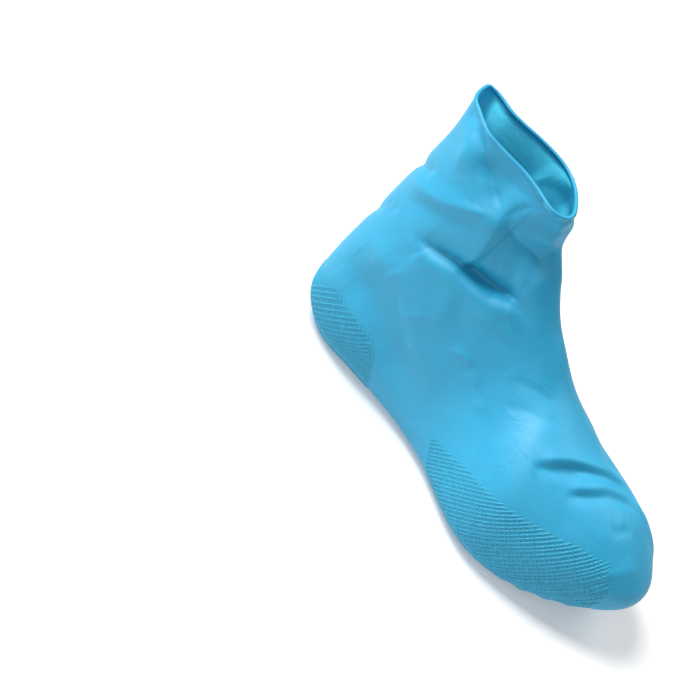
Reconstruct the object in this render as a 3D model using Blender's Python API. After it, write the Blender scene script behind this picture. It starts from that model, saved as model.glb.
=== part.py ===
"""Waterproof shoe cover of dip-moulded rubber: one thin skin with a rolled bead round its open mouth.

The cover stands on its sole, toe along +X and up along +Z, with its origin under the middle of its box.
Its form is a loft through closed sections. Each section lies in a slanted plane between a low point, on the
sole, the heel or the back of the shaft, and a high point, on the toe, the instep or the front of the shaft.
A place on the skin is a station, counted in sections from the toe (0) to the mouth, and a girth, the share
of the way round: 0 at the low point, 0.25 on the -Y side, 0.5 at the high point and 0.75 on the +Y side.
"""

import math

import bmesh
import bpy
import numpy as np

# Overall sizes, in metres
COVER_LENGTH = 0.288     # heel to toe
COVER_HEIGHT = 0.191     # floor to the top of the mouth
FOOT_WIDTH = 0.120       # across the ball of the foot
HEEL_WIDTH = 0.076       # across the heel
MOUTH_LENGTH = 0.092     # back to front of the mouth
MOUTH_WIDTH = 0.047      # across the mouth
TOE_LENGTH = 0.072       # the stretch over which the toe rounds off
TOE_ROUND = 2.3          # the power of that rounding: 2 is a ball, more is blunter

# The rubber skin
SKIN = 0.0010
SOLE_SKIN = 0.0016
BEAD_DIAMETER = 0.0024
SOLE_PRESS = 0.0020      # how far the round underside is pressed flat on the floor

# Folds and gathers
FOLD_HEIGHT = 0.0100     # the deepest fold, where the far wall is pressed in under the rim
FOLD_SPREAD = 0.0200     # how far the widest fold reaches to each side
FOLD_SPAN = 0.30         # how far round the girth a fold can reach, as a share of it
SPAN_FADE = 0.15         # the last part of that span, over which the fold fades out
RIM_HOLD = 0.0080        # the stretch under the rim over which the folds fade out
MOUTH_TURN = 0.0450      # the stretch under the rim over which the skin turns into the rim's own shape
RIM_SWAY = -0.0051       # how far the middle of the rim lies from the middle of the foot
GATHER_HEIGHT = 0.0012   # the waves under the toe
GATHER_PITCH = 0.0130

# Mesh fineness
AROUND = 50
TOE_RINGS = 14
BODY_RINGS = 36
BEAD_STEPS = 6
FOLD_STEPS = 10
FADE = 4                 # a fold fades in over one part in this many of its path, and out over another
CLOSER = 0.2             # how much closer together than the average the points lie on the near side's folds
CLOSEST = 0.36           # the share of the girth at which they lie closest
BELOW = 0.6              # how far a distance along the skin is taken below it, and the rest of it above

# Sections of the foot. Along is a share of COVER_LENGTH from the heel, up a share of the height, wide a share
# of half FOOT_WIDTH and sway a share of FOOT_WIDTH. Widest is the share of the way up at which the section is
# widest, and the rounds are the powers of its curve below and above that: 2 is an ellipse, more is squarer.
# name, low along, low up, high along, high up, wide, widest, low round, high round, sway
FOOT_SECTIONS = (
    ("toe_end", 0.994, 0.113, 1.009, 0.299, 0.713, 0.43, 2.60, 2.20, 0.000),
    ("cap", 0.880, 0.046, 0.873, 0.388, 0.806, 0.38, 3.05, 2.10, -0.018),
    ("toes", 0.773, 0.005, 0.756, 0.416, 0.931, 0.34, 3.40, 2.10, -0.036),
    ("ball", 0.666, 0.000, 0.650, 0.466, 1.000, 0.31, 3.60, 2.00, -0.044),
    ("fore_waist", 0.588, 0.000, 0.607, 0.490, 0.930, 0.31, 3.50, 1.95, -0.025),
    ("waist", 0.521, 0.003, 0.579, 0.512, 0.820, 0.31, 3.40, 1.90, 0.003),
    ("instep", 0.368, 0.003, 0.520, 0.583, 0.622, 0.38, 3.20, 1.88, 0.004),
)

# Sections of the heel and the shaft. Reach, a share of MOUTH_LENGTH, is how far in front of the low point the
# high point lies, and wide is a share of half HEEL_WIDTH for the heel and of half MOUTH_WIDTH for the shaft.
# name, low along, low up, reach, high up, wide, widest, low round, high round, sway
HEEL_SECTIONS = (
    ("heel_front", 0.206, 0.000, 0.791, 0.653, 0.997, 0.42, 2.90, 1.90, 0.000),
    ("heel_base", 0.089, 0.000, 1.023, 0.727, 1.037, 0.45, 2.80, 1.90, 0.000),
    ("heel_corner", 0.018, 0.061, 1.213, 0.751, 1.015, 0.47, 2.50, 1.90, 0.000),
    ("heel_back", 0.000, 0.220, 1.139, 0.814, 1.002, 0.48, 2.30, 1.90, 0.000),
)
SHAFT_SECTIONS = (
    ("ankle", 0.007, 0.408, 1.085, 0.857, 1.583, 0.48, 2.10, 1.90, 0.000),
    ("shaft", 0.018, 0.666, 1.030, 0.893, 1.512, 0.48, 1.95, 1.90, 0.002),
    ("cuff", 0.025, 0.861, 0.974, 0.925, 1.383, 0.48, 1.90, 1.80, -0.006),
    ("mouth", 0.017, 1.000, 0.994, 0.961, 1.000, 0.49, 2.00, 2.00, -0.033),
)

# The rim of the mouth, pressed out of round as the empty cover stands. Along is a share of MOUTH_LENGTH from
# the back of the mouth, across a share of MOUTH_WIDTH from its middle.
# girth, along, across
MOUTH_RIM = (
    (0.000, -0.015, 0.247),
    (0.054, 0.029, -0.151),
    (0.110, 0.114, -0.321),
    (0.154, 0.217, -0.445),
    (0.182, 0.293, -0.510),
    (0.227, 0.429, -0.485),
    (0.260, 0.531, -0.443),
    (0.290, 0.620, -0.400),
    (0.328, 0.735, -0.405),
    (0.370, 0.842, -0.447),
    (0.404, 0.912, -0.468),
    (0.450, 0.985, -0.390),
    (0.500, 1.018, -0.230),
    (0.545, 0.995, -0.020),
    (0.585, 0.930, 0.209),
    (0.637, 0.827, 0.436),
    (0.681, 0.709, 0.562),
    (0.721, 0.592, 0.572),
    (0.761, 0.466, 0.510),
    (0.809, 0.320, 0.398),
    (0.842, 0.226, 0.351),
    (0.886, 0.124, 0.372),
    (0.942, 0.033, 0.362),
)

# Folds in the skin, each along a path of (station, girth) places. Height is a share of FOLD_HEIGHT, above 0
# for a ridge and below 0 for a hollow. Left and right are how far it reaches to the left and right of its
# path, seen from outside, as shares of FOLD_SPREAD.
# name, height, left, right, path
FOLDS = (
    ("ankle_ridge", 0.50, 0.45, 1.0, ((11.2, 0.198), (10.1, 0.295), (9.2, 0.348), (7.8, 0.396), (7.0, 0.43))),
    ("ankle_hollow", -0.55, 0.5, 0.4, ((11.2, 0.21), (10.1, 0.303), (9.3, 0.355), (7.8, 0.406), (6.8, 0.44))),
    ("facet_ridge", 0.40, 0.65, 0.75, ((12.3, 0.321), (11.3, 0.331), (10.4, 0.336), (9.6, 0.332))),
    ("facet_valley", -0.55, 0.45, 0.65, ((12.3, 0.318), (11.4, 0.365), (10.5, 0.408), (9.2, 0.465))),
    ("front_pinch", 0.30, 0.45, 0.45, ((13.4, 0.462), (12.7, 0.450), (11.2, 0.440), (10.5, 0.434))),
    ("shaft_ridge", 0.30, 0.45, 0.45, ((11.9, 0.060), (11.9, 0.164), (12.0, 0.273), (12.2, 0.322))),
    ("back_crease", -0.25, 0.4, 0.4, ((13.9, 0.11), (13.8, 0.17), (13.3, 0.22), (12.7, 0.28), (12.3, 0.318))),
    ("heel_hollow", -0.45, 0.80, 0.65, ((10.4, 0.100), (9.0, 0.226), (7.4, 0.241), (6.0, 0.222))),
    ("side_ridge", 0.25, 0.60, 0.50, ((10.9, 0.150), (9.8, 0.235), (7.7, 0.268), (5.8, 0.250))),
    ("toe_lip", 0.25, 0.40, 0.30, ((3.15, 0.388), (2.62, 0.440), (2.02, 0.507), (1.3, 0.560))),
    ("toe_fold", -0.30, 0.30, 0.40, ((2.95, 0.390), (2.48, 0.442), (1.92, 0.508), (1.2, 0.560))),
    ("toe_crease", -0.22, 0.27, 0.35, ((2.20, 0.404), (1.84, 0.450), (1.38, 0.515), (1.0, 0.552))),
    ("far_ridge", 0.36, 0.60, 0.50, ((10.9, 0.745), (10.0, 0.690), (9.0, 0.645), (7.4, 0.590))),
    ("far_hollow", -0.30, 0.50, 0.55, ((11.0, 0.725), (9.8, 0.665), (8.6, 0.620), (7.2, 0.565))),
    ("far_valley", -0.25, 0.42, 0.42, ((12.4, 0.640), (11.0, 0.600), (9.6, 0.570))),
    ("far_toe_fold", -0.24, 0.36, 0.36, ((2.8, 0.610), (2.3, 0.570), (1.9, 0.535))),
    ("far_press", -1.00, 1.00, 1.00, ((12.8, 0.90), (12.7, 0.83), (12.6, 0.76), (12.6, 0.70), (12.7, 0.64))),
)


def section_table():
    """The sections from the toe to the mouth, in metres: one row of low x, low z, high x, high z, half width,
    widest, low round, high round and sway for each."""
    rows = []
    rise = COVER_HEIGHT + SOLE_PRESS
    for _, low_along, low_up, high_along, high_up, wide, *shape, sway in FOOT_SECTIONS:
        low = (low_along * COVER_LENGTH, low_up * rise - SOLE_PRESS)
        high = (high_along * COVER_LENGTH, high_up * rise - SOLE_PRESS)
        rows.append((*low, *high, wide * FOOT_WIDTH / 2, *shape, sway * FOOT_WIDTH))
    for sections, width in ((HEEL_SECTIONS, HEEL_WIDTH), (SHAFT_SECTIONS, MOUTH_WIDTH)):
        for _, low_along, low_up, reach, high_up, wide, *shape, sway in sections:
            low = (low_along * COVER_LENGTH, low_up * rise - SOLE_PRESS)
            high = (low[0] + reach * MOUTH_LENGTH, high_up * rise - SOLE_PRESS)
            rows.append((*low, *high, wide * width / 2, *shape, sway * FOOT_WIDTH))
    return np.array(rows)


def section_distances(table):
    """How far along the skin each section lies from the toe, taken partly below and partly above."""
    step = np.diff(table, axis=0)
    below = np.hypot(step[:, 0], step[:, 1])
    above = np.hypot(step[:, 2], step[:, 3])
    return np.concatenate([[0], np.cumsum(BELOW * below + (1 - BELOW) * above)])


def smooth_through(knots, values, at):
    """A smooth curve through the values at the knots, read at other places."""
    gap = np.diff(knots)[:, None]
    slope = np.diff(values, axis=0) / gap
    inner = (slope[:-1] * gap[1:] + slope[1:] * gap[:-1]) / (gap[:-1] + gap[1:])
    tangent = np.vstack([slope[:1], inner, slope[-1:]])
    i = np.clip(np.searchsorted(knots, at, side="right") - 1, 0, len(knots) - 2)
    h = gap[i]
    s = ((at - knots[i])[:, None]) / h
    start = (2 * s**3 - 3 * s**2 + 1) * values[i] + (s**3 - 2 * s**2 + s) * h * tangent[i]
    end = (3 * s**2 - 2 * s**3) * values[i + 1] + (s**3 - s**2) * h * tangent[i + 1]
    return start + end


def signed_power(value, power):
    return np.sign(value) * np.abs(value) ** power


def smooth_step(value):
    """A rise from 0 to 1 that is level at both ends."""
    value = np.clip(value, 0, 1)
    return value * value * (3 - 2 * value)


def section_points(table, distance, girth):
    """Points on the skin as its sections alone have it, for each distance and share of the girth."""
    low_x, low_z, high_x, high_z, half, widest, low_round, high_round, sway = smooth_through(
        section_distances(table), table, distance
    ).T
    toe = np.clip(1 - distance / TOE_LENGTH, 0, 1)
    dome = (1 - toe**TOE_ROUND) ** (1 / TOE_ROUND)
    side = np.sin(2 * math.pi * girth)
    up = -np.cos(2 * math.pi * girth)
    rounding = 2 / np.where(up < 0, low_round, high_round)
    reach = np.where(up < 0, widest, 1 - widest)
    share = widest + dome * reach * signed_power(up, rounding)
    across = sway - dome * half * signed_power(side, rounding)
    along = low_x + (high_x - low_x) * share
    height = low_z + (high_z - low_z) * share
    return np.stack([along, across, height], axis=-1)


def mouth_rim(table, girth):
    """The rim of the mouth at each share of the girth."""
    rim = np.array(MOUTH_RIM)
    wrapped = np.vstack([rim[-2:] - (1, 0, 0), rim, rim[:2] + (1, 0, 0)])
    along, across = smooth_through(wrapped[:, 0], wrapped[:, 1:], girth).T
    low_x, low_z, high_x, high_z = table[-1, :4]
    x = low_x + (high_x - low_x) * along
    z = low_z + (high_z - low_z) * along
    return np.stack([x, RIM_SWAY + across * MOUTH_WIDTH, z], axis=-1)


def skin_points(distance, girth):
    """Points on the unfolded skin, whose last stretch turns from the round of the sections into the rim."""
    table = section_table()
    length = section_distances(table)[-1]
    near = smooth_step(1 - (length - distance) / MOUTH_TURN)[:, None]
    shift = mouth_rim(table, girth) - section_points(table, np.full_like(girth, length), girth)
    return section_points(table, distance, girth) + near * shift


def ring_girths():
    """The shares of the girth at which each ring has its points."""
    even = np.arange(AROUND) / AROUND
    turn = 2 * math.pi
    return even - CLOSER * (np.sin(turn * (even - CLOSEST)) + math.sin(turn * CLOSEST)) / turn


def outward(grid):
    """The outward direction at each point of a grid of rings that run from the toe to the mouth."""
    along = np.gradient(grid, axis=0)
    round_ring = np.roll(grid, -1, axis=1) - np.roll(grid, 1, axis=1)
    normal = np.cross(round_ring, along)
    return normal / np.maximum(np.linalg.norm(normal, axis=-1, keepdims=True), 1e-9)


def fold_lift(grid, facing, path, height, left, right):
    """How far one fold moves each point of the grid along its outward direction."""
    stations, girths = np.array(path).T
    knots = section_distances(section_table())
    steps = np.linspace(0, len(path) - 1, FOLD_STEPS + 1)
    order = np.arange(len(path))
    turns = np.interp(steps, order, girths)
    route = skin_points(np.interp(np.interp(steps, order, stations), np.arange(len(knots)), knots), turns)
    nearest = np.full(grid.shape[:-1], np.inf)
    lift = np.zeros(grid.shape[:-1])
    for i, (start, end) in enumerate(zip(route[:-1], route[1:])):
        run = end - start
        offset = grid - start
        share = np.clip((offset @ run) / (run @ run), 0, 1)
        offset = offset - share[..., None] * run
        distance = np.linalg.norm(offset, axis=-1)
        side = (np.cross(run, offset) * facing).sum(-1)
        spread = FOLD_SPREAD * np.where(side < 0, right, left)
        gone = (i + share) / FOLD_STEPS
        fade = smooth_step(FADE * np.minimum(gone, 1 - gone))
        apart = np.abs((ring_girths() - turns[i] - share * (turns[i + 1] - turns[i]) + 0.5) % 1 - 0.5)
        fade = fade * smooth_step((FOLD_SPAN - apart) / SPAN_FADE)
        here = fade * np.exp(-((distance / spread) ** 2))
        lift = np.where(distance < nearest, here, lift)
        nearest = np.minimum(distance, nearest)
    return FOLD_HEIGHT * height * lift


def gather_lift(grid, facing):
    """The waves that run across the underside of the toe, where it curls up off the floor."""
    behind = COVER_LENGTH - grid[..., 0]
    waves = np.cos(2 * math.pi * behind / GATHER_PITCH)
    inside = np.clip((behind - GATHER_PITCH / 2) / GATHER_PITCH, 0, 1)
    inside = inside * np.clip((TOE_LENGTH - behind) / GATHER_PITCH, 0, 1)
    return GATHER_HEIGHT * waves * inside * np.clip(-facing[..., 2], 0, 1) ** 2


def outer_rings():
    """The folded outer face of the skin, ring by ring from just behind the toe to the mouth."""
    length = section_distances(section_table())[-1]
    turn = np.linspace(0, math.pi / 2, TOE_RINGS + 1)
    toe = TOE_LENGTH * (1 - np.cos(turn))
    body = np.linspace(TOE_LENGTH, length, BODY_RINGS + 1)
    distance = np.concatenate([toe[1:-1], body])
    distance, girth = np.meshgrid(distance, ring_girths(), indexing="ij")
    grid = skin_points(distance.ravel(), girth.ravel()).reshape(*distance.shape, 3)
    facing = outward(grid)
    lift = gather_lift(grid, facing)
    for _, height, left, right, path in FOLDS:
        lift = lift + fold_lift(grid, facing, path, height, left, right)
    lift = lift * smooth_step((length - distance) / RIM_HOLD)
    grid = grid + lift[..., None] * facing
    grid[..., 2] = np.maximum(grid[..., 2], 0)
    return grid


def skin_rings():
    """Every ring of the closed skin, from the outer toe over the bead to the inner toe, and its two poles."""
    outer = outer_rings()
    facing = outward(outer)
    pole = skin_points(np.zeros(1), np.zeros(1))[0]
    ahead = pole - outer[0].mean(axis=0)
    ahead = ahead / np.linalg.norm(ahead)

    # The bead is rolled about the middle of the skin, and its top is level with the last section.
    bead = BEAD_DIAMETER / 2
    upward = outer[-1] - outer[-2]
    upward = upward / np.linalg.norm(upward, axis=-1, keepdims=True)
    centre = outer[-1] - facing[-1] * SKIN / 2 - upward * bead
    join = math.acos(SKIN / 2 / bead)
    outer[-1] = centre + facing[-1] * SKIN / 2 - upward * bead * math.sin(join)
    angles = np.linspace(-join, math.pi + join, BEAD_STEPS + 1)[1:-1]
    rolled = [centre + bead * (math.cos(a) * facing[-1] + math.sin(a) * upward) for a in angles]

    down = np.clip(-facing[..., 2], 0, 1) ** 2
    wall = SKIN + (SOLE_SKIN - SKIN) * down
    inner = outer - facing * wall[..., None]
    rings = [*outer, *rolled, *inner[::-1]]
    return rings, pole, pole - ahead * SKIN


def place_ring(verts, points):
    for vert, point in zip(verts, points):
        vert.co = point


def rubber():
    material = bpy.data.materials.new("blue_latex")
    material.use_nodes = True
    shader = material.node_tree.nodes["Principled BSDF"]
    shader.inputs["Base Color"].default_value = (0.05, 0.39, 0.66, 1)
    shader.inputs["Roughness"].default_value = 0.42
    shader.inputs["Metallic"].default_value = 0
    return material


def cover_shell():
    """The whole cover: a disc at the toe is drawn out ring by ring, over the bead and back down inside."""
    rings, pole, inner_pole = skin_rings()
    points = np.array(rings).reshape(-1, 3)
    middle = (points.min(axis=0) + points.max(axis=0)) / 2
    shift = np.array((middle[0], middle[1], 0))

    bm = bmesh.new()
    disc = bmesh.ops.create_circle(bm, cap_ends=True, cap_tris=True, segments=AROUND, radius=SKIN)
    rim = [v for v in disc["verts"] if v.is_boundary]
    tip = next(v for v in disc["verts"] if not v.is_boundary)
    rim.sort(key=lambda v: math.atan2(v.co.y, v.co.x) % (2 * math.pi))
    tip.co = pole - shift
    place_ring(rim, rings[0] - shift)
    for ring in rings[1:]:
        edges = [bm.edges.get((a, b)) for a, b in zip(rim, rim[1:] + rim[:1])]
        made = bmesh.ops.extrude_edge_only(bm, edges=edges)["geom"]
        new = {v for v in made if isinstance(v, bmesh.types.BMVert)}
        rim = [next(e.other_vert(v) for e in v.link_edges if e.other_vert(v) in new) for v in rim]
        place_ring(rim, ring - shift)
    cap = bm.faces.new(rim)
    inside = bmesh.ops.poke(bm, faces=[cap])["verts"][0]
    inside.co = inner_pole - shift
    bmesh.ops.recalc_face_normals(bm, faces=bm.faces)

    mesh = bpy.data.meshes.new("cover_shell")
    bm.to_mesh(mesh)
    bm.free()
    mesh.shade_smooth()
    mesh.materials.append(rubber())
    shell = bpy.data.objects.new("cover_shell", mesh)
    bpy.context.collection.objects.link(shell)
    return shell


for old in list(bpy.data.objects):
    bpy.data.objects.remove(old, do_unlink=True)
cover_shell()
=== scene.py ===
import math

import bmesh
import bpy
import numpy as np
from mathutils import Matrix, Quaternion, Vector
from mathutils.bvhtree import BVHTree


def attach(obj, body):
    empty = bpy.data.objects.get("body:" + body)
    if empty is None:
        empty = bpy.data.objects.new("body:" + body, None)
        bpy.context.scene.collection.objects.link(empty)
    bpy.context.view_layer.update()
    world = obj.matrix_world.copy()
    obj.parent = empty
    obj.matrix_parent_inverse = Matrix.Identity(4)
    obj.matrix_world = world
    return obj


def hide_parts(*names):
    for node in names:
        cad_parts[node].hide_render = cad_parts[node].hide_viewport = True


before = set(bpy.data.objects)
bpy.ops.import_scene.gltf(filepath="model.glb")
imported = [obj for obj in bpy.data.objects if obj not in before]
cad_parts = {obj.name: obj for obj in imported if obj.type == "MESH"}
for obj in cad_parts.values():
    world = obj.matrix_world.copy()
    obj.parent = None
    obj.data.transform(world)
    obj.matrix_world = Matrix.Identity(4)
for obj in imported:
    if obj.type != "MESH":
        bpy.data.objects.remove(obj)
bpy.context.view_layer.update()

# The cover's skin
# One dip-moulded rubber skin, about 1 mm thick and closed at the toe, with a bead rolled round its mouth.
# It is drawn in rings from the toe to the mouth and folded along paths, in the form of the solid. Its inner
# face is painted paler: painted light that stands in for the light showing through the thin rubber.
LENGTH = 0.288
HEIGHT = 0.191
WIDTH = 0.120
HEEL_WIDTH = 0.076
MOUTH_LENGTH = 0.092
MOUTH_WIDTH = 0.047
TOE_LENGTH = 0.072
TOE_ROUND = 2.3
MILLIMETRE = 0.001
BELOW = 0.6
SKIN = 0.0010
SOLE_SKIN = 0.0016
BEAD = 0.0024
SOLE_PRESS = 0.0020
SOLE_UP = 0.0004
GATHER_HEIGHT = 0.0012
GATHER_PITCH = 0.0130
AROUND = 250
TOE_RINGS = 50
BODY_RINGS = 220
INNER_STEP = 3
BEAD_STEPS = 9
FOLD_STEPS = 12
FADE = 4
FOLD_SPAN = 0.3
SPAN_FADE = 0.125
RELAX_BODY = 40
RELAX_FOLDS = 1
RELAX_LINING = 4
LINING_REACH = 3
CLOSER = 0.4
CLOSEST = 0.36
# The box's middle, from the heel and from the middle of the toe.
MIDDLE = np.array((0.14402, -0.00514, 0.0))

# Sections of the foot: low along, low up, high along, high up, wide, widest, low round, high round, sway.
FOOT = (
    (0.994, 0.113, 1.009, 0.299, 0.713, 0.43, 2.60, 2.20, 0.000),
    (0.880, 0.046, 0.873, 0.388, 0.806, 0.38, 3.05, 2.10, -0.018),
    (0.773, 0.005, 0.756, 0.416, 0.931, 0.34, 3.40, 2.10, -0.036),
    (0.666, 0.000, 0.650, 0.466, 1.000, 0.31, 3.60, 2.00, -0.044),
    (0.588, 0.000, 0.607, 0.490, 0.930, 0.31, 3.50, 1.95, -0.025),
    (0.521, 0.003, 0.579, 0.512, 0.820, 0.31, 3.40, 1.90, 0.003),
    (0.368, 0.003, 0.520, 0.583, 0.622, 0.38, 3.20, 1.88, 0.004),
)
# Sections of the heel and of the shaft: the same, with the reach from the low point in place of high along.
HEEL = (
    (0.206, 0.000, 0.791, 0.653, 0.997, 0.42, 2.90, 1.90, 0.000),
    (0.089, 0.000, 1.023, 0.727, 1.037, 0.45, 2.80, 1.90, 0.000),
    (0.018, 0.061, 1.213, 0.751, 1.015, 0.47, 2.50, 1.90, 0.000),
    (0.000, 0.220, 1.139, 0.814, 1.002, 0.48, 2.30, 1.90, 0.000),
)
SHAFT = (
    (0.007, 0.408, 1.085, 0.857, 1.583, 0.48, 2.10, 1.90, 0.000),
    (0.018, 0.666, 1.030, 0.893, 1.512, 0.48, 1.95, 1.90, 0.002),
    (0.025, 0.861, 0.974, 0.925, 1.383, 0.48, 1.90, 1.80, -0.006),
    (0.017, 1.000, 0.994, 0.961, 1.000, 0.49, 2.00, 2.00, -0.033),
)
# The rim of the mouth, pressed out of round as the empty cover stands: girth, along from the back of the
# mouth as a share of its length, across as a share of its width.
MOUTH_TURN = 0.045
RIM_HOLD = 0.008
RIM_SWAY = -0.0051
MOUTH_RIM = (
    (0.000, -0.015, 0.247),
    (0.054, 0.029, -0.151),
    (0.110, 0.114, -0.321),
    (0.154, 0.217, -0.445),
    (0.182, 0.293, -0.510),
    (0.227, 0.429, -0.485),
    (0.260, 0.531, -0.443),
    (0.290, 0.620, -0.400),
    (0.328, 0.735, -0.405),
    (0.370, 0.842, -0.447),
    (0.404, 0.912, -0.468),
    (0.450, 0.985, -0.390),
    (0.500, 1.018, -0.230),
    (0.545, 0.995, -0.020),
    (0.585, 0.930, 0.209),
    (0.637, 0.827, 0.436),
    (0.681, 0.709, 0.562),
    (0.721, 0.592, 0.572),
    (0.761, 0.466, 0.510),
    (0.809, 0.320, 0.398),
    (0.842, 0.226, 0.351),
    (0.886, 0.124, 0.372),
    (0.942, 0.033, 0.362),
)
# Folds: height, reach to the left and to the right in millimetres, crispness, path of (section, girth).
FOLDS = (
    # the ankle, near side
    (-7.5, 6.5, 3.2, 1.1, (
        (11.2, 0.212), (10.6, 0.262), (10.15, 0.303), (9.7, 0.332), (9.3, 0.355), (8.8, 0.378),
        (7.8, 0.406), (6.8, 0.436),
    )),
    (3.4, 3.2, 13.0, 1.6, (
        (11.2, 0.198), (10.6, 0.253), (10.1, 0.295), (9.6, 0.326), (9.2, 0.348), (8.7, 0.370), (7.8, 0.396),
        (7.0, 0.425),
    )),
    (2.0, 14.0, 16.0, 2.0, ((10.4, 0.235), (9.2, 0.285), (8.0, 0.335))),
    (-5.0, 20.0, 4.0, 1.2, ((9.95, 0.322), (9.7, 0.332), (9.3, 0.355), (8.8, 0.378), (7.8, 0.406))),
    (4.2, 13.0, 16.0, 1.1, ((12.3, 0.321), (11.3, 0.331), (10.4, 0.336), (9.6, 0.332))),
    (-5.0, 9.0, 13.0, 1.1, ((12.3, 0.318), (11.4, 0.365), (10.5, 0.408), (9.9, 0.441), (9.2, 0.465))),
    (-2.0, 5.0, 5.0, 1.3, ((12.1, 0.322), (12.7, 0.349), (13.2, 0.384), (13.6, 0.427))),
    (4.0, 8.0, 5.0, 1.3, ((13.4, 0.462), (12.7, 0.450), (12.1, 0.443), (11.2, 0.440), (10.5, 0.434))),
    (3.2, 8.0, 5.0, 1.2, ((11.9, 0.060), (11.9, 0.164), (11.9, 0.222), (12.0, 0.273), (12.2, 0.322))),
    (-1.6, 4.0, 7.0, 1.3, ((11.6, 0.080), (11.65, 0.184), (11.65, 0.228), (11.65, 0.280), (11.8, 0.316))),
    (-3.0, 8.0, 8.0, 1.3, ((13.7, 0.190), (13.3, 0.243), (13.0, 0.283), (12.1, 0.322))),
    (3.0, 8.0, 8.0, 1.4, ((14.0, 0.127), (13.6, 0.150), (13.3, 0.167), (12.5, 0.176))),
    (-2.6, 3.5, 3.5, 1.3, ((13.9, 0.090), (13.8, 0.140), (13.7, 0.170), (13.5, 0.210))),
    (-3.0, 6.0, 9.0, 1.6, ((13.6, 0.215), (13.4, 0.250), (13.4, 0.294), (13.4, 0.343), (13.5, 0.394))),
    (-3.2, 3.0, 6.0, 1.2, (
        (14.0, 0.090), (13.93, 0.120), (13.78, 0.170), (13.33, 0.215), (12.75, 0.284), (12.3, 0.318),
    )),
    # the back of the shaft
    (-1.6, 2.5, 2.5, 1.5, ((11.5, 0.080), (11.35, 0.115), (11.4, 0.145))),
    (-3.0, 4.0, 4.0, 1.4, ((12.1, -0.060), (12.1, 0.030), (12.2, 0.106), (12.3, 0.150))),
    (-1.8, 4.0, 4.0, 1.5, ((11.1, -0.060), (11.2, 0.041), (11.4, 0.110))),
    # the side of the heel and of the foot
    (-5.5, 15.0, 14.0, 1.8, (
        (10.4, 0.100), (9.6, 0.186), (9.0, 0.226), (8.2, 0.240), (7.4, 0.241), (6.8, 0.233), (6.0, 0.222),
    )),
    (2.5, 12.0, 9.0, 1.4, (
        (10.9, 0.150), (10.3, 0.200), (9.8, 0.235), (8.9, 0.262), (7.7, 0.268), (6.9, 0.262), (5.8, 0.250),
    )),
    (-0.7, 2.5, 2.5, 1.4, ((9.7, 0.240), (9.2, 0.252), (8.5, 0.264))),
    (0.6, 2.5, 2.5, 1.4, ((8.5, 0.256), (8.2, 0.272), (8.1, 0.298))),
    (0.8, 2.0, 2.0, 2.0, ((7.5, 0.248), (7.4, 0.256), (7.2, 0.262))),
    (0.7, 3.0, 3.0, 2.0, ((7.15, 0.310), (6.9, 0.319), (6.7, 0.322), (6.5, 0.327))),
    (0.5, 2.5, 2.5, 1.4, ((8.0, 0.338), (7.6, 0.360), (7.2, 0.378), (6.7, 0.396))),
    (-0.7, 3.0, 3.0, 1.5, ((6.2, 0.364), (6.0, 0.375), (5.7, 0.395), (5.3, 0.424), (4.6, 0.472))),
    (-0.6, 3.0, 3.0, 1.5, ((5.6, 0.356), (5.4, 0.367), (5.1, 0.397), (4.2, 0.433), (3.1, 0.475))),
    (0.7, 3.0, 3.0, 2.0, ((7.05, 0.312), (6.8, 0.321), (6.65, 0.328))),
    (0.7, 3.0, 3.0, 2.0, ((6.5, 0.315), (6.3, 0.319), (6.1, 0.322))),
    (0.7, 3.0, 3.0, 2.0, ((5.9, 0.308), (5.75, 0.317), (5.6, 0.326))),
    (0.7, 3.0, 3.0, 2.0, ((6.2, 0.366), (6.05, 0.374), (5.9, 0.382))),
    # the toe
    (2.6, 7.0, 1.8, 1.3, (
        (3.15, 0.388), (2.84, 0.412), (2.62, 0.440), (2.32, 0.473), (2.02, 0.507), (1.72, 0.533),
        (1.3, 0.560),
    )),
    (-2.4, 1.7, 2.6, 1.3, (
        (2.95, 0.390), (2.70, 0.416), (2.48, 0.442), (2.20, 0.474), (1.92, 0.508), (1.62, 0.533),
        (1.2, 0.560),
    )),
    (-2.2, 2.0, 7.0, 1.3, ((3.10, 0.380), (2.84, 0.396), (2.62, 0.412), (2.36, 0.440), (2.15, 0.470))),
    (2.0, 5.0, 1.7, 1.3, (
        (2.25, 0.414), (2.12, 0.428), (1.94, 0.452), (1.74, 0.487), (1.47, 0.516), (1.1, 0.555),
    )),
    (-2.2, 1.6, 3.4, 1.3, (
        (2.20, 0.404), (2.02, 0.424), (1.84, 0.450), (1.64, 0.486), (1.38, 0.515), (1.0, 0.552),
    )),
    (-0.8, 2.0, 3.0, 1.4, ((2.20, 0.395), (2.05, 0.410), (1.85, 0.433), (1.70, 0.457), (1.60, 0.475))),
    (-1.2, 1.4, 2.6, 1.3, ((1.22, 0.425), (1.10, 0.445), (1.02, 0.470), (0.97, 0.490))),
    (1.2, 5.0, 5.0, 1.6, ((0.8, 0.340), (0.6, 0.385), (0.45, 0.470))),
    (1.8, 5.0, 5.0, 1.3, ((1.5, 0.530), (1.1, 0.556), (0.7, 0.600), (0.3, 0.640))),
    # the far side
    (3.6, 12.0, 9.5, 1.4, ((10.9, 0.745), (10.0, 0.690), (9.0, 0.645), (7.4, 0.590))),
    (-3.0, 9.5, 10.5, 1.4, ((11.0, 0.725), (9.8, 0.665), (8.6, 0.620), (7.2, 0.565))),
    (-2.4, 8.0, 8.0, 1.4, ((12.4, 0.640), (11.0, 0.600), (9.6, 0.570))),
    (-2.4, 7.0, 7.0, 1.3, ((2.8, 0.610), (2.3, 0.570), (1.9, 0.535))),
    (-14.0, 24.0, 20.0, 2.0, (
        (13.1, 0.980), (12.9, 0.910), (12.8, 0.840), (12.7, 0.770), (12.7, 0.700), (12.8, 0.620),
    )),
)


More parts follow.
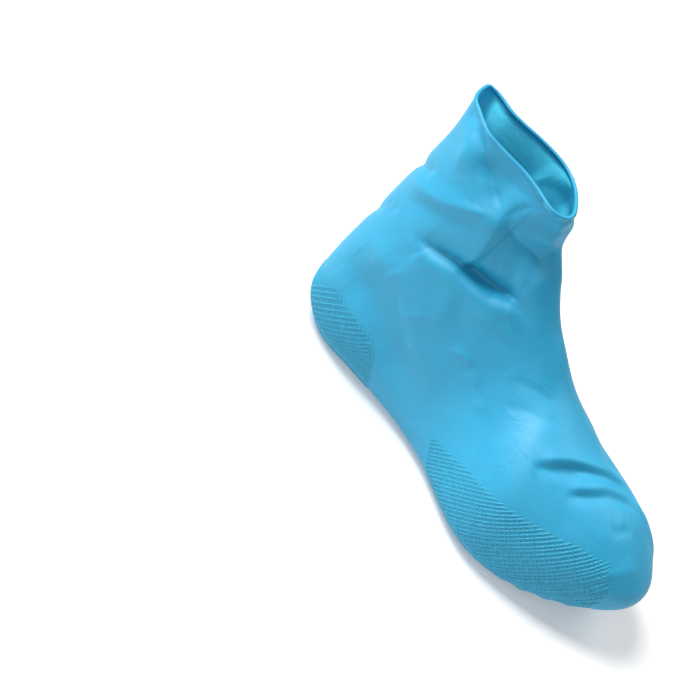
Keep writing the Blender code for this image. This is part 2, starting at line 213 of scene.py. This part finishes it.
def skin_table():
    """The sections from the toe to the mouth: low and high x and z, half width, widest, rounds, sway."""
    rows = []
    rise = HEIGHT + SOLE_PRESS
    for low_along, low_up, high_along, high_up, wide, widest, low_round, high_round, sway in FOOT:
        rows.append((
            low_along * LENGTH, low_up * rise - SOLE_PRESS, high_along * LENGTH, high_up * rise - SOLE_PRESS,
            wide * WIDTH / 2, widest, low_round, high_round, sway * WIDTH,
        ))
    for sections, width in ((HEEL, HEEL_WIDTH), (SHAFT, MOUTH_WIDTH)):
        for low_along, low_up, reach, high_up, wide, widest, low_round, high_round, sway in sections:
            low = low_along * LENGTH
            rows.append((
                low, low_up * rise - SOLE_PRESS, low + reach * MOUTH_LENGTH, high_up * rise - SOLE_PRESS,
                wide * width / 2, widest, low_round, high_round, sway * WIDTH,
            ))
    return np.array(rows)


def section_places(table):
    """How far along the skin each section lies from the toe, taken partly below and partly above."""
    step = np.diff(table, axis=0)
    below = np.hypot(step[:, 0], step[:, 1])
    above = np.hypot(step[:, 2], step[:, 3])
    return np.concatenate([[0], np.cumsum(BELOW * below + (1 - BELOW) * above)])


SECTIONS = skin_table()
PLACES = section_places(SECTIONS)


def smooth_through(knots, values, at):
    """A smooth curve through the values at the knots, read at other places."""
    gap = np.diff(knots)[:, None]
    slope = np.diff(values, axis=0) / gap
    inner = (slope[:-1] * gap[1:] + slope[1:] * gap[:-1]) / (gap[:-1] + gap[1:])
    tangent = np.vstack([slope[:1], inner, slope[-1:]])
    i = np.clip(np.searchsorted(knots, at, side="right") - 1, 0, len(knots) - 2)
    h = gap[i]
    s = (at - knots[i])[:, None] / h
    start = (2 * s**3 - 3 * s**2 + 1) * values[i] + (s**3 - 2 * s**2 + s) * h * tangent[i]
    end = (3 * s**2 - 2 * s**3) * values[i + 1] + (s**3 - s**2) * h * tangent[i + 1]
    return start + end


def rounded(value, power):
    return np.sign(value) * np.abs(value) ** power


def section_points(distance, girth):
    """Points on the skin as its sections alone have it, for each distance from the toe and share of girth."""
    low_x, low_z, high_x, high_z, half, widest, low_round, high_round, sway = smooth_through(
        PLACES, SECTIONS, distance
    ).T
    toe = np.clip(1 - distance / TOE_LENGTH, 0, 1)
    dome = (1 - toe**TOE_ROUND) ** (1 / TOE_ROUND)
    side = np.sin(2 * math.pi * girth)
    up = -np.cos(2 * math.pi * girth)
    rounding = 2 / np.where(up < 0, low_round, high_round)
    reach = np.where(up < 0, widest, 1 - widest)
    share = widest + dome * reach * rounded(up, rounding)
    across = sway - dome * half * rounded(side, rounding)
    return np.stack([low_x + (high_x - low_x) * share, across, low_z + (high_z - low_z) * share], axis=-1)


def mouth_rim(girth):
    """The rim of the mouth at each share of the girth."""
    rim = np.array(MOUTH_RIM)
    wrapped = np.vstack([rim[-2:] - (1, 0, 0), rim, rim[:2] + (1, 0, 0)])
    along, across = smooth_through(wrapped[:, 0], wrapped[:, 1:], girth).T
    low_x, low_z, high_x, high_z = SECTIONS[-1, :4]
    x = low_x + (high_x - low_x) * along
    z = low_z + (high_z - low_z) * along
    return np.stack([x, RIM_SWAY + across * MOUTH_WIDTH, z], axis=-1)


def skin_points(distance, girth):
    """Points on the unfolded skin, whose last stretch turns from the round of the sections into the rim."""
    near = np.clip(1 - (PLACES[-1] - distance) / MOUTH_TURN, 0, 1)[:, None]
    shift = mouth_rim(girth) - section_points(np.full_like(girth, PLACES[-1]), girth)
    return section_points(distance, girth) + near * near * (3 - 2 * near) * shift


def outward(grid):
    """The outward direction at each point of a grid of rings that run from the toe to the mouth."""
    along = np.gradient(grid, axis=0)
    round_ring = np.roll(grid, -1, axis=1) - np.roll(grid, 1, axis=1)
    normal = np.cross(round_ring, along)
    return normal / np.linalg.norm(normal, axis=-1, keepdims=True)


def fold_lift(grid, facing, path, height, left, right, crisp):
    """How far one fold moves each point of the skin outwards. It fades in and out along its path."""
    stations, girths = np.array(path).T
    steps = np.linspace(0, len(path) - 1, FOLD_STEPS + 1)
    order = np.arange(len(path))
    turns = np.interp(steps, order, girths)
    girth = ring_girths()
    route = skin_points(np.interp(np.interp(steps, order, stations), np.arange(len(PLACES)), PLACES), turns)
    nearest = np.full(grid.shape[:-1], np.inf)
    lift = np.zeros(grid.shape[:-1])
    for i, (start, end) in enumerate(zip(route[:-1], route[1:])):
        run = end - start
        offset = grid - start
        share = np.clip((offset @ run) / (run @ run), 0, 1)
        offset = offset - share[..., None] * run
        away = np.linalg.norm(offset, axis=-1)
        side = (np.cross(run, offset) * facing).sum(-1)
        spread = np.where(side < 0, right, left) * MILLIMETRE
        apart = np.abs((girth - turns[i] - share * (turns[i + 1] - turns[i]) + 0.5) % 1 - 0.5)
        gone = (i + share) / FOLD_STEPS
        fade = np.clip(FADE * np.minimum(gone, 1 - gone), 0, 1)
        fade = fade * fade * (3 - 2 * fade)
        here = fade * np.exp(-((away / spread) ** crisp)) * np.clip((FOLD_SPAN - apart) / SPAN_FADE, 0, 1)
        lift = np.where(away < nearest, here, lift)
        nearest = np.minimum(away, nearest)
    return height * MILLIMETRE * lift


def ring_girths():
    """The shares of the girth at which each ring has its points, closest on the near side's folds."""
    even = np.arange(AROUND) / AROUND
    turn = 2 * math.pi
    return even - CLOSER * (np.sin(turn * (even - CLOSEST)) + math.sin(turn * CLOSEST)) / turn


def gather_lift(grid, facing):
    """The waves across the underside of the toe, where it curls up off the floor."""
    behind = LENGTH - grid[..., 0]
    waves = np.cos(2 * math.pi * behind / GATHER_PITCH)
    inside = np.clip((behind - GATHER_PITCH / 2) / GATHER_PITCH, 0, 1)
    inside = inside * np.clip((TOE_LENGTH - behind) / GATHER_PITCH, 0, 1)
    return GATHER_HEIGHT * waves * inside * np.clip(-facing[..., 2], 0, 1) ** 2


def relaxed(rings, times):
    """The rings with each point drawn to the middle of its neighbours, a number of times."""
    rings = rings.copy()
    for _ in range(times):
        beside = (np.roll(rings, 1, axis=1) + np.roll(rings, -1, axis=1)) / 2
        rings[1:-1] = rings[1:-1] / 4 + beside[1:-1] / 4 + (rings[:-2] + rings[2:]) / 4
    return rings


def lowest_near(lift):
    """The least lift within a few points of each point."""
    wide = np.pad(lift, ((LINING_REACH, LINING_REACH), (0, 0)), mode="edge")
    low = lift
    for i in range(2 * LINING_REACH + 1):
        band = wide[i:i + len(lift)]
        for j in range(-LINING_REACH, LINING_REACH + 1):
            low = np.minimum(low, np.roll(band, j, axis=1))
    return low


def skin_faces():
    """The folded outer face of the skin, ring by ring from just behind the toe to the mouth, and its lining,
    which follows the folds more softly, so that the inner face keeps clear of the sharp ones."""
    turn = np.linspace(0, math.pi / 2, TOE_RINGS + 1)
    toe = TOE_LENGTH * (1 - np.cos(turn))
    body = np.linspace(TOE_LENGTH, PLACES[-1], BODY_RINGS + 1)
    distance = np.concatenate([toe[1:-1], body])
    girth = ring_girths()
    distance, girth = np.meshgrid(distance, girth, indexing="ij")
    outer = skin_points(distance.ravel(), girth.ravel()).reshape(*distance.shape, 3)
    soft = np.clip((distance - TOE_LENGTH / 2) / (TOE_LENGTH / 2), 0, 1)
    soft = soft * np.clip((PLACES[-1] - MOUTH_TURN / 2 - distance) / MOUTH_TURN, 0, 1)
    outer = outer + (relaxed(outer, RELAX_BODY) - outer) * soft[..., None]
    facing = outward(outer)
    lift = gather_lift(outer, facing)
    for height, left, right, crisp, path in FOLDS:
        lift = lift + fold_lift(outer, facing, path, height, left, right, crisp)
    held = np.clip((PLACES[-1] - distance) / RIM_HOLD, 0, 1)
    lift = lift * held * held * (3 - 2 * held)
    lining = relaxed(outer + (lowest_near(lift) * held)[..., None] * facing, RELAX_LINING)
    outer = relaxed(outer + lift[..., None] * facing, RELAX_FOLDS)
    for face in (outer, lining):
        face[..., 2] = np.maximum(face[..., 2], SOLE_UP)
    return outer, lining


def skin_rings(outer, lining):
    """The rings of the closed skin: the outer face, the rolled bead, the inner face, and its two poles."""
    facing = outward(outer)
    pole = skin_points(np.zeros(1), np.zeros(1))[0]
    ahead = pole - outer[0].mean(axis=0)
    ahead = ahead / np.linalg.norm(ahead)

    bead = BEAD / 2
    upward = outer[-1] - outer[-2]
    upward = upward / np.linalg.norm(upward, axis=-1, keepdims=True)
    centre = outer[-1] - facing[-1] * SKIN / 2 - upward * bead
    join = math.acos(SKIN / 2 / bead)
    outer[-1] = centre + facing[-1] * SKIN / 2 - upward * bead * math.sin(join)
    outer[-2] = (outer[-1] + outer[-3]) / 2
    angles = np.linspace(-join, math.pi + join, BEAD_STEPS + 1)[1:-1]
    rolled = [centre + bead * (math.cos(a) * facing[-1] + math.sin(a) * upward) for a in angles]

    lining[-2:] = outer[-2:]
    facing = outward(lining)
    down = np.clip(-facing[..., 2], 0, 1) ** 2
    wall = SKIN + (SOLE_SKIN - SKIN) * down
    inner = lining - facing * wall[..., None]
    rings = [*outer, *rolled, *inner[::-INNER_STEP]]
    return [ring - MIDDLE for ring in rings], pole - MIDDLE, pole - ahead * SKIN - MIDDLE


def place_ring(verts, points):
    for vert, point in zip(verts, points):
        vert.co = point


def piece_from(name, bm, material):
    """A finished piece from a bmesh, smooth and in one material, that stands for the cover's solid."""
    mesh = bpy.data.meshes.new(name)
    bm.to_mesh(mesh)
    mesh.shade_smooth()
    mesh.materials.append(material)
    piece = bpy.data.objects.new(name, mesh)
    bpy.context.collection.objects.link(piece)
    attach(piece, "root")
    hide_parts("cover_shell")


class Wire:
    """A shader socket. An expression on it adds its Math nodes, and node() adds any other."""

    def __init__(self, tree, socket=None):
        self.tree = tree
        self.socket = socket

    def node(self, kind, settings, sockets, out=0):
        made = self.tree.nodes.new(kind)
        for name, value in settings.items():
            setattr(made, name, value)
        for name, value in sockets.items():
            if isinstance(value, Wire):
                self.tree.links.new(value.socket, made.inputs[name])
            else:
                made.inputs[name].default_value = value
        return Wire(self.tree, made.outputs[out] if len(made.outputs) else None)

    def math(self, operation, *values):
        return self.node("ShaderNodeMath", {"operation": operation}, dict(enumerate(values)))

    def __add__(self, other):
        return self.math("ADD", self, other)

    def __mul__(self, other):
        return self.math("MULTIPLY", self, other)

    __radd__ = __add__
    __rmul__ = __mul__


def blue_latex():
    """Sky-blue latex, faintly cloudy, satin and finely crinkled, with its inner face painted paler as painted
    light.
    """
    material = bpy.data.materials.new("blue_latex")
    material.use_nodes = True
    tree = material.node_tree
    tree.nodes.clear()
    start = Wire(tree)
    place = start.node("ShaderNodeTexCoord", {}, {}, "Object")
    long = start.node("ShaderNodeMapping", {}, {"Vector": place, "Scale": (0.6, 1, 1)})
    noise = "ShaderNodeTexNoise"
    clouds = start.node(noise, {}, {"Vector": place, "Scale": 38, "Detail": 3, "Roughness": 0.55}, "Fac")
    grain = start.node(noise, {}, {"Vector": place, "Scale": 900, "Detail": 2, "Roughness": 0.6}, "Fac")
    crinkle = start.node(
        noise, {}, {"Vector": long, "Scale": 95, "Detail": 3, "Roughness": 0.55, "Distortion": 0.8}, "Fac"
    )
    mix = "ShaderNodeMix"
    colours = {"data_type": "RGBA"}
    blue = start.node(mix, colours, {0: clouds, 6: (0.012, 0.315, 0.535, 1), 7: (0.020, 0.375, 0.605, 1)}, 2)
    painted_inner_light = start.node("ShaderNodeAttribute", {"attribute_name": "painted_inner_light"}, {}, "Fac")
    # Painted light: the inner face gets a paler blue that stands in for light shining through the thin rubber
    # into the mouth.
    colour = start.node(mix, colours, {0: painted_inner_light, 6: blue, 7: (0.07, 0.60, 0.80, 1)}, 2)
    height = crinkle * 0.9 + grain * 0.1 + clouds * 0.5
    bump = start.node("ShaderNodeBump", {}, {"Height": height, "Strength": 0.42, "Distance": 0.0016})
    shader = start.node(
        "ShaderNodeBsdfPrincipled",
        {},
        {
            "Base Color": colour,
            "Roughness": 0.47 + clouds * 0.16,
            "Normal": bump,
            "Subsurface Weight": 0.45,
            "Subsurface Radius": (0.2, 0.6, 1.0),
            "Subsurface Scale": 0.0022,
            "Specular IOR Level": 0.6,
        },
    )
    start.node("ShaderNodeOutputMaterial", {}, {"Surface": shader})
    return material


def cover_skin(outer, lining, material):
    """A disc at the toe, drawn out ring by ring to the mouth, over the bead and back down inside."""
    rings, pole, inner_pole = skin_rings(outer, lining)
    bm = bmesh.new()
    painted_inner_light = bm.verts.layers.float.new("painted_inner_light")
    disc = bmesh.ops.create_circle(bm, cap_ends=True, cap_tris=True, segments=AROUND, radius=SKIN)
    rim = [v for v in disc["verts"] if v.is_boundary]
    tip = next(v for v in disc["verts"] if not v.is_boundary)
    rim.sort(key=lambda v: math.atan2(v.co.y, v.co.x) % (2 * math.pi))
    tip.co = pole
    place_ring(rim, rings[0])
    for i, ring in enumerate(rings[1:], 1):
        edges = [bm.edges.get((a, b)) for a, b in zip(rim, rim[1:] + rim[:1])]
        made = bmesh.ops.extrude_edge_only(bm, edges=edges)["geom"]
        new = {v for v in made if isinstance(v, bmesh.types.BMVert)}
        rim = [next(e.other_vert(v) for e in v.link_edges if e.other_vert(v) in new) for v in rim]
        place_ring(rim, ring)
        for vert in rim:
            # Painted light: the rings from the bead inwards are marked for the paler inner colour that stands
            # in for light through the rubber.
            vert[painted_inner_light] = float(i >= len(outer) + BEAD_STEPS - 1)
    cap = bm.faces.new(rim)
    inside = bmesh.ops.poke(bm, faces=[cap])["verts"][0]
    inside.co = inner_pole
    inside[painted_inner_light] = 1.0
    bmesh.ops.recalc_face_normals(bm, faces=bm.faces)
    piece_from("cover_skin", bm, material)
    return bm


latex = blue_latex()
outer, lining = skin_faces()
skin = cover_skin(outer.copy(), lining, latex)
skin_tree = BVHTree.FromBMesh(skin)
skin.free()

# The tread
# Fine raised ribs that cross in a diamond net, cast with the skin on the sole and up its sides.
# They cover the heel and the ball of the foot, and leave the arch and the middle of the sole smooth.
RIB_PITCH = 0.0025
RIB_WIDTH = 0.0014
RIB_SINK = 0.00015
RIB_STEP = 0.0016
MOST_STEPS = 70
LEAST_STEPS = 3
SOLE_SPAN = 0.25
SOLE_RIB = 0.144
UNDER = Vector((0, 0, -0.05))
FINE_RIB = 0.85
RIB_END = 0.3
RIB_GROWTH = 0.35
STRIP_MIDDLE = 0.003
STRIP_HALF = 0.0115
EDGE_SLOPE = 0.6
TREAD_TOP = 0.062
# The outlines of the patches as seen from the side: along, height.
HEEL_TREAD = (
    (-0.150, -0.001), (-0.150, 0.034), (-0.139, 0.038), (-0.124, 0.043), (-0.110, 0.042), (-0.094, 0.042),
    (-0.078, 0.039), (-0.070, 0.027), (-0.064, 0.012), (-0.062, -0.001),
)
TOE_TREAD = (
    (0.002, -0.001), (-0.002, 0.010), (-0.008, 0.018), (-0.014, 0.028), (0.006, 0.034), (0.022, 0.042),
    (0.042, 0.048), (0.063, 0.052), (0.080, 0.055), (0.097, 0.058), (0.116, 0.058), (0.126, 0.048),
    (0.129, 0.036), (0.127, 0.020), (0.112, 0.008), (0.098, -0.001),
)


def in_tread(place, normal, outline):
    """Whether a place on the skin lies inside the outline, and off the smooth strip of the sole."""
    if -normal.z > EDGE_SLOPE and abs(place.y - STRIP_MIDDLE) < STRIP_HALF:
        return False
    inside = False
    for (x0, z0), (x1, z1) in zip(outline, outline[1:] + outline[:1]):
        if (z0 > place.z) != (z1 > place.z) and place.x < x0 + (x1 - x0) * (place.z - z0) / (z1 - z0):
            inside = not inside
    return inside


def wall_run(place, normal, turn):
    """A rib from the edge of the sole up the wall, at half a right angle to its slope, to either side."""
    run = [(place, normal)]
    while place.z < TREAD_TOP and len(run) < MOST_STEPS:
        climb = (Vector((0, 0, 1)) - normal * normal.z).normalized()
        heading = (climb + normal.cross(climb) * turn).normalized()
        place, normal, _, _ = skin_tree.find_nearest(place + heading * RIB_STEP)
        run.append((place, normal))
    return run


def sole_run(first, heading, steps):
    """A rib straight across the sole, from one edge to the other."""
    run = []
    for i in range(steps + 1):
        place, normal, _, _ = skin_tree.ray_cast(first + heading * RIB_STEP * i, Vector((0, 0, 1)))
        if place is not None and -normal.z > EDGE_SLOPE:
            run.append((place, normal))
        elif run:
            break
    return run


def sole_edge(outer):
    """Places evenly spaced round the edge of the sole, where its underside turns into the walls."""
    under = -outward(outer)[..., 2] > EDGE_SLOPE
    chains = []
    half = AROUND // 2
    for ring, below in zip(outer, under):
        if below[0]:
            near = int(np.argmin(below[:half]))
            far = AROUND - int(np.argmin(below[:half:-1]))
            chains.append((ring[near], ring[far % AROUND]))
    loop = [near for near, _ in chains] + [far for _, far in chains[::-1]]
    loop = np.array(loop + loop[:1]) - MIDDLE
    gone = np.concatenate([[0], np.cumsum(np.linalg.norm(np.diff(loop, axis=0), axis=1))])
    count = round(gone[-1] / (RIB_PITCH * math.sqrt(2)))
    at = np.arange(count) / count * gone[-1]
    return [Vector([np.interp(t, gone, loop[:, axis]) for axis in range(3)]) for t in at]


def whole_ribs(outer):
    """Every rib of the net at full length, on the walls and on the sole."""
    ribs = []
    for place in sole_edge(outer):
        place, normal, _, _ = skin_tree.find_nearest(place)
        ribs.append((1, wall_run(place, normal, 1)))
        ribs.append((-1, wall_run(place, normal, -1)))
    spacing = RIB_PITCH * math.sqrt(2)
    steps = round(SOLE_RIB / (RIB_STEP * math.sqrt(0.5)))
    for lean in (-1, 1):
        heading = Vector((lean, 1, 0)).normalized()
        for i in range(round(-SOLE_SPAN / spacing), round(SOLE_SPAN / spacing)):
            first = UNDER + Vector((i * spacing, 0, 0)) - heading * RIB_STEP * steps / 2
            ribs.append((lean, sole_run(first, heading, steps)))
    return ribs


def ribs_within(ribs, outline):
    """The stretches of the ribs that lie in one patch."""
    kept = []
    for lean, rib in ribs:
        run = []
        for place, normal in rib:
            if in_tread(place, normal, outline):
                run.append((place, normal))
                continue
            if len(run) >= LEAST_STEPS:
                kept.append((lean, run))
            run = []
        if len(run) >= LEAST_STEPS:
            kept.append((lean, run))
    return kept


def tread_piece(name, ribs, material):
    """A patch of ribs: round wires laid half into the skin, thin at their ends, made one mesh."""
    curve = bpy.data.curves.new(name, "CURVE")
    curve.dimensions = "3D"
    curve.bevel_depth = RIB_WIDTH / 2
    curve.bevel_resolution = 1
    curve.use_fill_caps = True
    for lean, run in ribs:
        size = 1 if lean * run[0][0].y > 0 or abs(run[0][1].z) > EDGE_SLOPE else FINE_RIB
        spline = curve.splines.new("POLY")
        spline.points.add(len(run) - 1)
        for i, (point, (place, normal)) in enumerate(zip(spline.points, run)):
            centre = place - normal * RIB_SINK
            point.co = (*centre, 1)
            point.radius = size * min(1, RIB_END + RIB_GROWTH * min(i, len(run) - 1 - i))
    wire = bpy.data.objects.new(name, curve)
    bpy.context.collection.objects.link(wire)
    bpy.context.view_layer.update()
    mesh = wire.to_mesh()
    bm = bmesh.new()
    bm.from_mesh(mesh)
    bpy.data.objects.remove(wire)
    bmesh.ops.recalc_face_normals(bm, faces=bm.faces)
    piece_from(name, bm, material)
    bm.free()


net = whole_ribs(outer)
for name, outline in (("heel_tread", HEEL_TREAD), ("toe_tread", TOE_TREAD)):
    ribs = ribs_within(net, outline)
    near_ribs = [rib for rib in ribs if rib[1][len(rib[1]) // 2][0].y < STRIP_MIDDLE]
    far_ribs = [rib for rib in ribs if rib[1][len(rib[1]) // 2][0].y >= STRIP_MIDDLE]
    tread_piece(f"{name}_near", near_ribs, latex)
    tread_piece(f"{name}_far", far_ribs, latex)

# The floor
# A wide sheet of smooth white card that the cover stands on. It glows faintly: painted light that keeps the
# shadows on it light, and that also lights the cover a little from below.
floor_mesh = bpy.data.meshes.new("floor")
bm = bmesh.new()
bmesh.ops.create_grid(bm, x_segments=1, y_segments=1, size=6)
bm.to_mesh(floor_mesh)
bm.free()
floor = bpy.data.objects.new("floor", floor_mesh)
bpy.context.collection.objects.link(floor)
card = bpy.data.materials.new("white_card")
card.use_nodes = True
card.node_tree.nodes["Principled BSDF"].inputs["Base Color"].default_value = (0.62, 0.62, 0.62, 1)
card.node_tree.nodes["Principled BSDF"].inputs["Roughness"].default_value = 0.8
# Painted light: the card's faint glow lifts the shadows on it.
card.node_tree.nodes["Principled BSDF"].inputs["Emission Color"].default_value = (1, 1, 1, 1)
card.node_tree.nodes["Principled BSDF"].inputs["Emission Strength"].default_value = 0.30
floor_mesh.materials.append(card)

# The light
# Faint light all round, one large soft lamp above and behind the heel, and two weaker ones: one on the near
# side, high enough to shine into the mouth, and one on the far side that shines through the thin rubber.
world = bpy.data.worlds.new("studio")
bpy.context.scene.world = world
world.use_nodes = True
world.node_tree.nodes["Background"].inputs["Color"].default_value = (0.97, 0.98, 1.0, 1)
world.node_tree.nodes["Background"].inputs["Strength"].default_value = 0.13


def lamp(name, place, aim, size, power):
    light = bpy.data.lights.new(name, "AREA")
    light.shape = "SQUARE"
    light.size = size
    light.energy = power
    holder = bpy.data.objects.new(name, light)
    bpy.context.collection.objects.link(holder)
    holder.location = place
    holder.rotation_mode = "QUATERNION"
    holder.rotation_quaternion = (Vector(place) - Vector(aim)).to_track_quat("Z", "Y")


lamp("key", (-2.35, -0.80, 3.20), (0, 0, 0.08), 1.8, 224)
lamp("fill", (0.35, -1.75, 1.95), (0, 0, 0.05), 1.4, 15)
lamp("far", (0.60, 1.30, 2.00), (0, 0, 0.05), 1.5, 22)

# The camera
# It looks down at the near side and is turned on its axis, as a hand-held camera is.
CAMERA_PLACE = Vector((0.09651, -0.85026, 0.59942))
CAMERA_AIM = Vector((-0.08277, -0.04663, 0.03194))
CAMERA_ROLL = 41.72
CAMERA_LENS = 84.6
view = bpy.data.cameras.new("camera")
view.sensor_width = 36
view.lens = CAMERA_LENS
camera = bpy.data.objects.new("camera", view)
bpy.context.collection.objects.link(camera)
camera.location = CAMERA_PLACE
camera.rotation_mode = "QUATERNION"
level = (CAMERA_PLACE - CAMERA_AIM).to_track_quat("Z", "Y")
camera.rotation_quaternion = level @ Quaternion((0, 0, 1), math.radians(CAMERA_ROLL))
bpy.context.scene.camera = camera
bpy.context.scene.view_settings.view_transform = "Standard"
